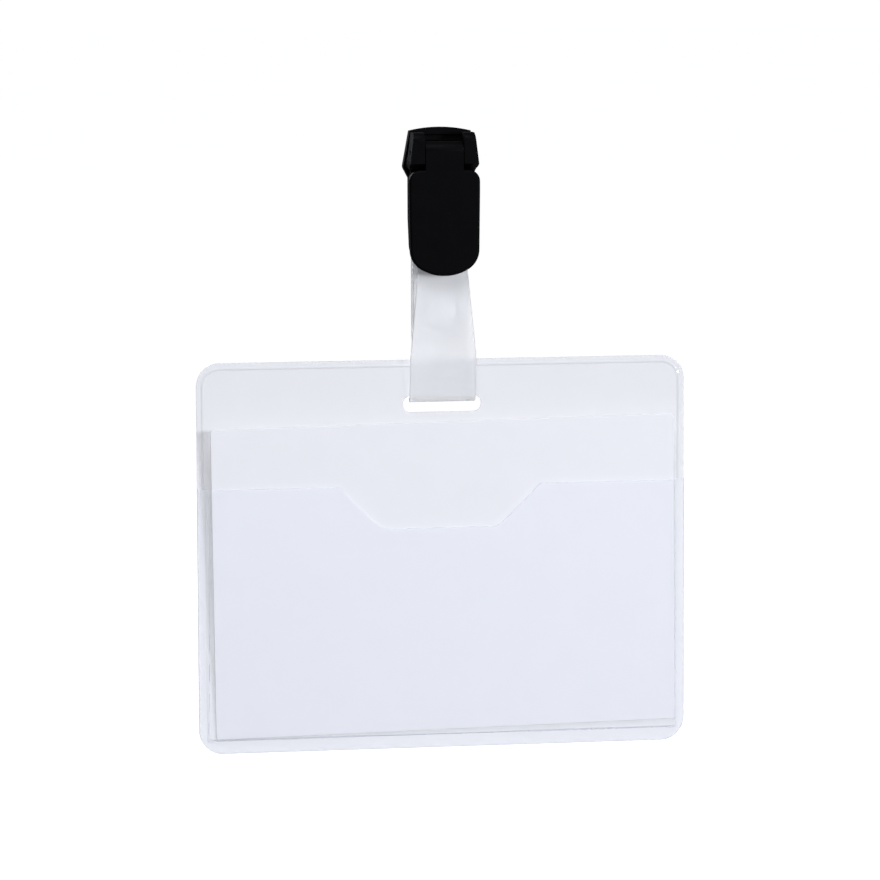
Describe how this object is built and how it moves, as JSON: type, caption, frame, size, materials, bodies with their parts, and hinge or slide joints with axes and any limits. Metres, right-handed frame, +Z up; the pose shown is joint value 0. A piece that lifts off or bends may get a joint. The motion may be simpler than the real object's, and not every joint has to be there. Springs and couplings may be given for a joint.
{
  "type": "lanyard badge holder",
  "caption": "Clear landscape badge pocket with a blank card, hung by a popper strap from a black plastic lever clip.",
  "frame": {"origin": "middle of the clip's mouth, on the face of the rear jaw at its top edge", "axes": "+Z up as the badge hangs, -Y the front that is read, +X to the right seen from the front"},
  "size_m": [0.095, 0.0096, 0.1198],
  "materials": {
    "clip_plastic": "moulded satin black",
    "pin_steel": "drawn wire",
    "strap_vinyl": "milky translucent vinyl",
    "popper_plastic": "moulded natural white",
    "clear_film": "smooth clear film with a faint lavender tint",
    "card_paper": "uncoated blank card"
  },
  "bodies": {
    "clip_body": {"clip_base": "clip_plastic", "clip_pin": "pin_steel"},
    "lever": {"clip_lever": "clip_plastic"},
    "strap_loop": {"strap": "strap_vinyl", "popper_post": "popper_plastic", "popper_stud": "popper_plastic", "popper_socket": "popper_plastic", "popper_cap": "popper_plastic"},
    "holder": {"back_film": "clear_film", "front_film": "clear_film"},
    "card": {"insert_card": "card_paper"}
  },
  "joints": [
    {"name": "lever_hinge", "type": "hinge", "parent": "clip_body", "child": "lever", "pos_m": [0, -0.0036, -0.0044], "axis": [-1, 0, 0], "range_deg": [0, 100]},
    {"name": "strap_swing", "type": "hinge", "parent": "clip_body", "child": "strap_loop", "pos_m": [0, -0.0009, -0.022], "axis": [1, 0, 0], "range_deg": [-9, 80]},
    {"name": "holder_swing", "type": "hinge", "parent": "strap_loop", "child": "holder", "pos_m": [0, -0.0009, -0.0515], "axis": [1, 0, 0], "range_deg": [-4, 8]},
    {"name": "card_slide", "type": "slide", "parent": "holder", "child": "card", "axis": [0, -0.0419, 0.9991], "range_m": [0, 0.024]}
  ]
}
